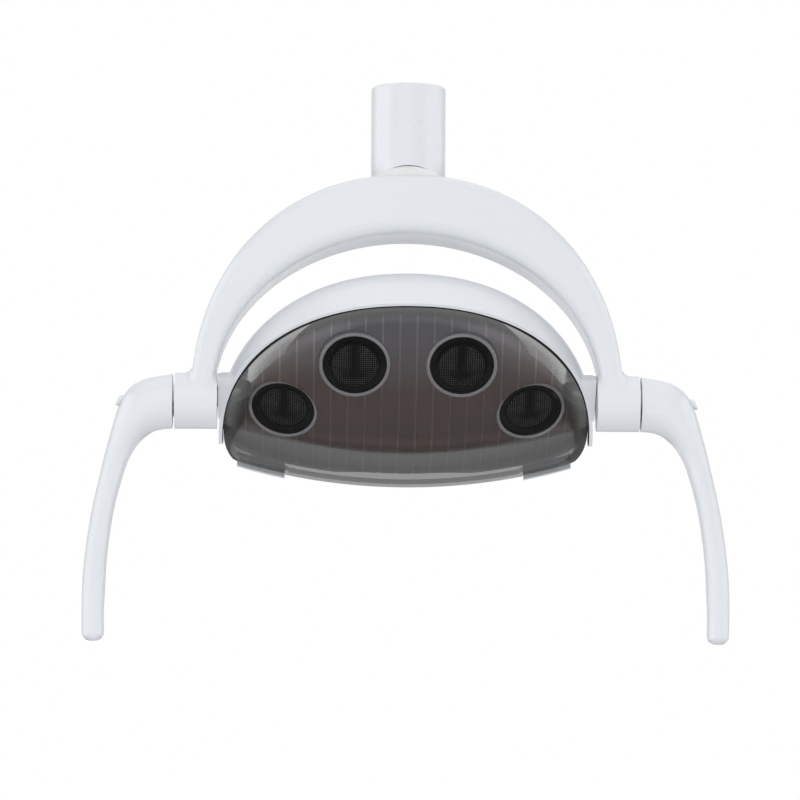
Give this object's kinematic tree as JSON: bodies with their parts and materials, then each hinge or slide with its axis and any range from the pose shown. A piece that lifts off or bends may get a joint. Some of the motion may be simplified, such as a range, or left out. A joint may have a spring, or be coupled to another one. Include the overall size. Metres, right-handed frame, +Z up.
{
  "type": "dental operating light",
  "caption": "LED dental operating light: a turning stem carries an arched yoke, in which a domed head with a smoked visor, round lamps and two drooping handles tilts",
  "frame": {"origin": "middle of the stem's top mouth, on the axis of the arm sleeve's bore", "axes": "+Z up along the stem, +X to the right of a person who faces the light, -Y towards that person"},
  "size_m": [0.4462, 0.1727, 0.3863],
  "materials": {
    "white_plastic": "glossy white",
    "white_paint": "glossy white powder coat",
    "steel": "machined",
    "dark_steel": "blackened",
    "cast_aluminium": "as cast",
    "bearing_plastic": "acetal",
    "smoked_visor": "clear smoked",
    "gasket": "matt",
    "panel_grey": "satin grey",
    "bezel_grey": "satin",
    "black_plastic": "matt black",
    "clear_lens": "moulded clear",
    "circuit_board": "solder mask",
    "friction_pad": "friction lining"
  },
  "bodies": {
    "socket": {"arm_sleeve": "steel", "sleeve_circlip": "dark_steel", "sleeve_grub_screws": "dark_steel"},
    "stem": {"stem_tube": "white_paint", "upper_bush": "bearing_plastic", "lower_bush": "bearing_plastic", "brake_screw": "dark_steel", "brake_pad": "friction_pad", "pan_stop_pin": "steel", "stem_foot": "cast_aluminium", "foot_screws": "dark_steel"},
    "yoke": {"yoke_front_shell": "white_plastic", "yoke_rear_shell": "white_plastic", "yoke_frame": "cast_aluminium", "roll_axle": "steel", "axle_circlips": "dark_steel", "hub_bush_left": "bearing_plastic", "hub_bush_right": "bearing_plastic", "yoke_screws": "dark_steel"},
    "head": {"bezel_inner_left": "bezel_grey", "bezel_inner_right": "bezel_grey", "bezel_outer_left": "bezel_grey", "bezel_outer_right": "bezel_grey", "button_spring_left": "steel", "button_spring_right": "steel", "chassis_screws": "dark_steel", "driver_board": "circuit_board", "ear_cap_left": "white_plastic", "ear_cap_right": "white_plastic", "emitter_inner_left": "circuit_board", "emitter_inner_right": "circuit_board", "emitter_outer_left": "circuit_board", "emitter_outer_right": "circuit_board", "handle_left": "white_plastic", "handle_right": "white_plastic", "head_shell": "white_plastic", "heat_sink": "cast_aluminium", "inner_panel": "panel_grey", "lens_holder_inner_left": "black_plastic", "lens_holder_inner_right": "black_plastic", "lens_holder_outer_left": "black_plastic", "lens_holder_outer_right": "black_plastic", "lens_inner_left": "clear_lens", "lens_inner_right": "clear_lens", "lens_outer_left": "clear_lens", "lens_outer_right": "clear_lens", "sensor_board": "circuit_board", "shell_screws": "dark_steel", "trunnion_left": "steel", "trunnion_right": "steel", "visor": "smoked_visor", "visor_gasket": "gasket"},
    "button_left": {"release_button_left": "white_plastic"},
    "button_right": {"release_button_right": "white_plastic"}
  },
  "joints": [
    {"name": "stem_pan", "type": "hinge", "parent": "socket", "child": "stem", "pos_m": [0, 0, -0.04], "axis": [0, 0, 1], "range_deg": [-163, 163]},
    {"name": "yoke_roll", "type": "hinge", "parent": "stem", "child": "yoke", "pos_m": [0, 0, -0.092], "axis": [0, 1, 0], "range_deg": [-12, 12]},
    {"name": "head_tilt", "type": "hinge", "parent": "yoke", "child": "head", "pos_m": [0, 0, -0.22], "axis": [1, 0, 0], "range_deg": [-100, 60]},
    {"name": "button_right_press", "type": "slide", "parent": "head", "child": "button_right", "axis": [-1, 0, 0], "range_m": [0, 0.003], "stiffness_N_per_m": 800, "springref_m": -0.001, "deforming": ["button_spring_right"]},
    {"name": "button_left_press", "type": "slide", "parent": "head", "child": "button_left", "axis": [1, 0, 0], "range_m": [0, 0.003], "stiffness_N_per_m": 800, "springref_m": -0.001, "deforming": ["button_spring_left"]}
  ]
}
